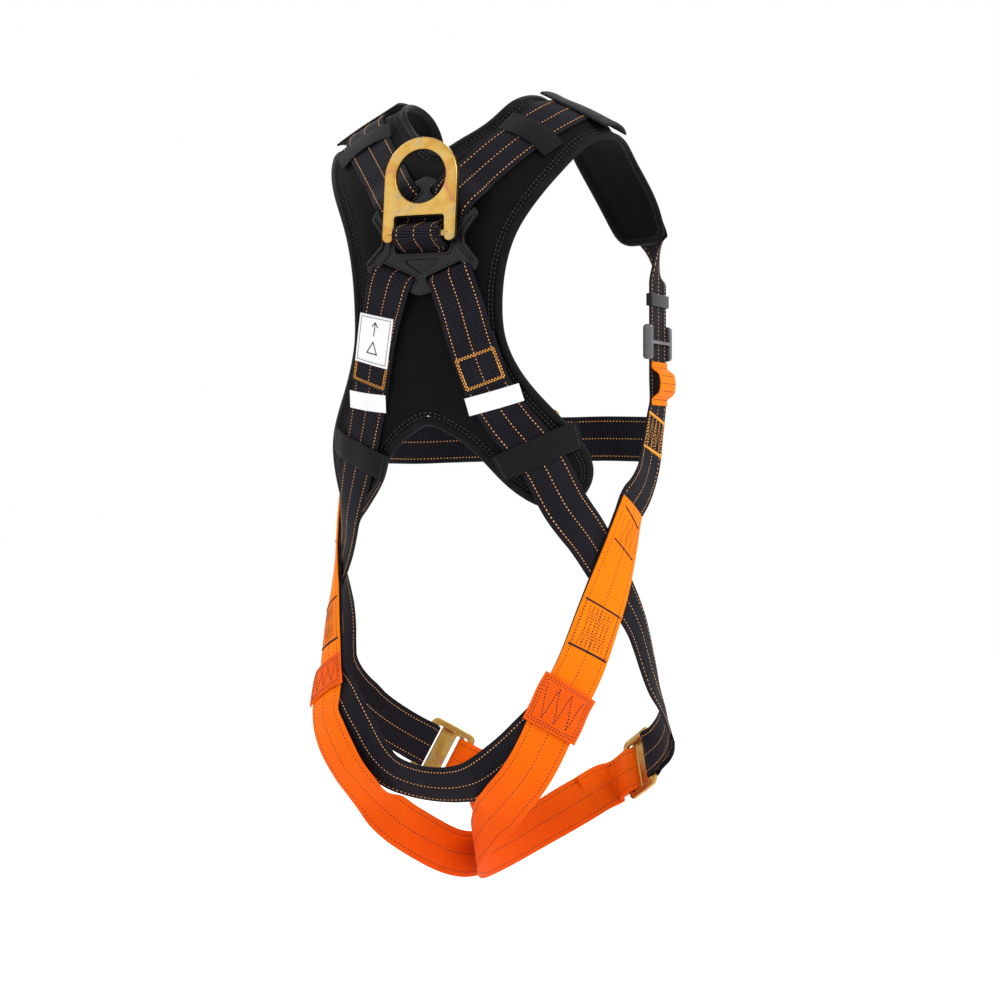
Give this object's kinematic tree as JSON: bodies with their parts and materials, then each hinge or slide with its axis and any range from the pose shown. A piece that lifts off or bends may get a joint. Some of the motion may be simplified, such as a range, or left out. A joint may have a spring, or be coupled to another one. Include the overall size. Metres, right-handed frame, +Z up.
{
  "type": "full-body safety harness",
  "caption": "Full-body fall-arrest harness with padded back yoke, dorsal D-ring, webbing straps, textile chest loops and mating buckles.",
  "frame": {"origin": "on the wearer's back, at the inner face of the back pad behind the dorsal plate", "axes": "+Z up; the wearer faces -Y, so the dorsal D-ring is on the +Y side; the wearer's right is at -X"},
  "size_m": [0.3605, 0.3065, 0.7578],
  "materials": {
    "pad_fabric": "matte",
    "webbing_black": "matte",
    "webbing_orange": "satin",
    "zinc_yellow": "satin",
    "black_plastic": "satin",
    "adjuster_steel": "satin",
    "elastic_black": "matte",
    "flap_fabric": "matte",
    "label_white": "matte"
  },
  "bodies": {
    "webbing": {"back_pad": "pad_fabric", "back_strap_left": "webbing_black", "back_strap_right": "webbing_black", "chest_frame": "zinc_yellow", "chest_loop_left": "webbing_orange", "chest_loop_right": "webbing_orange", "chest_strap_left": "webbing_black", "chest_strap_right": "webbing_black", "chest_web_left": "webbing_black", "chest_web_right": "webbing_black", "crossing_strap_left": "webbing_black", "crossing_strap_right": "webbing_black", "dorsal_plate": "black_plastic", "hip_patch_left": "webbing_orange", "hip_patch_right": "webbing_orange", "hip_strap_left": "webbing_black", "hip_strap_right": "webbing_black", "leg_frame_left": "zinc_yellow", "leg_frame_right": "zinc_yellow", "leg_strap_front_left": "webbing_orange", "leg_strap_front_right": "webbing_orange", "leg_strap_left": "webbing_orange", "leg_strap_right": "webbing_orange", "lobe_keeper_left": "elastic_black", "lobe_keeper_right": "elastic_black", "marking_label": "label_white", "pad_lobe_left": "pad_fabric", "pad_lobe_right": "pad_fabric", "rip_tag_left": "label_white", "rip_tag_right": "label_white", "sash_left": "webbing_black", "sash_right": "webbing_black", "seat_strap": "webbing_black", "shoulder_flap_left": "flap_fabric", "shoulder_flap_right": "flap_fabric", "shoulder_keeper_left": "elastic_black", "shoulder_keeper_right": "elastic_black", "shoulder_pad_left": "pad_fabric", "shoulder_pad_right": "pad_fabric", "shoulder_strap_left": "webbing_black", "shoulder_strap_right": "webbing_black", "straight_web_left": "webbing_black", "straight_web_right": "webbing_black", "thigh_strap_left": "webbing_black", "thigh_strap_right": "webbing_black", "waist_strap_left": "webbing_black", "waist_strap_right": "webbing_black"},
    "d_ring_body": {"d_ring": "zinc_yellow"},
    "adjuster_right_body": {"adjuster_right": "adjuster_steel"},
    "adjuster_left_body": {"adjuster_left": "adjuster_steel"},
    "web_keeper_right_body": {"web_keeper_right": "elastic_black"},
    "web_keeper_left_body": {"web_keeper_left": "elastic_black"},
    "leg_tongue_right_body": {"leg_tongue_right": "zinc_yellow"},
    "leg_tongue_left_body": {"leg_tongue_left": "zinc_yellow"},
    "chest_tongue_body": {"chest_tongue": "zinc_yellow"}
  },
  "joints": [
    {"name": "d_ring_swing", "type": "hinge", "parent": "webbing", "child": "d_ring_body", "pos_m": [-0.00694, 0.02597, 0.00523], "axis": [-0.9986, -0.0523, 0.0009], "range_deg": [0, 165]},
    {"name": "adjuster_slide_right", "type": "slide", "parent": "webbing", "child": "adjuster_right_body", "axis": [0, 0, 1], "range_m": [0, 0.012]},
    {"name": "web_keeper_slide_right", "type": "slide", "parent": "webbing", "child": "web_keeper_right_body", "axis": [0, 0, 1], "range_m": [0, 0.005]},
    {"name": "adjuster_slide_left", "type": "slide", "parent": "webbing", "child": "adjuster_left_body", "axis": [0, 0, 1], "range_m": [0, 0.012]},
    {"name": "web_keeper_slide_left", "type": "slide", "parent": "webbing", "child": "web_keeper_left_body", "axis": [0, 0, 1], "range_m": [0, 0.005]},
    {"name": "leg_tongue_lift_right", "type": "hinge", "parent": "webbing", "child": "leg_tongue_right_body", "pos_m": [-0.10528, -0.25256, -0.51079], "axis": [0.3169, -0.3851, 0.8668], "range_deg": [0, 60]},
    {"name": "leg_tongue_lift_left", "type": "hinge", "parent": "webbing", "child": "leg_tongue_left_body", "pos_m": [0.10529, -0.25257, -0.51079], "axis": [0.3169, 0.3851, -0.8668], "range_deg": [0, 60]},
    {"name": "chest_tongue_lift", "type": "hinge", "parent": "webbing", "child": "chest_tongue_body", "pos_m": [-0.0049, -0.25761, -0.17909], "axis": [0.003, 0, -1], "range_deg": [0, 60]}
  ]
}
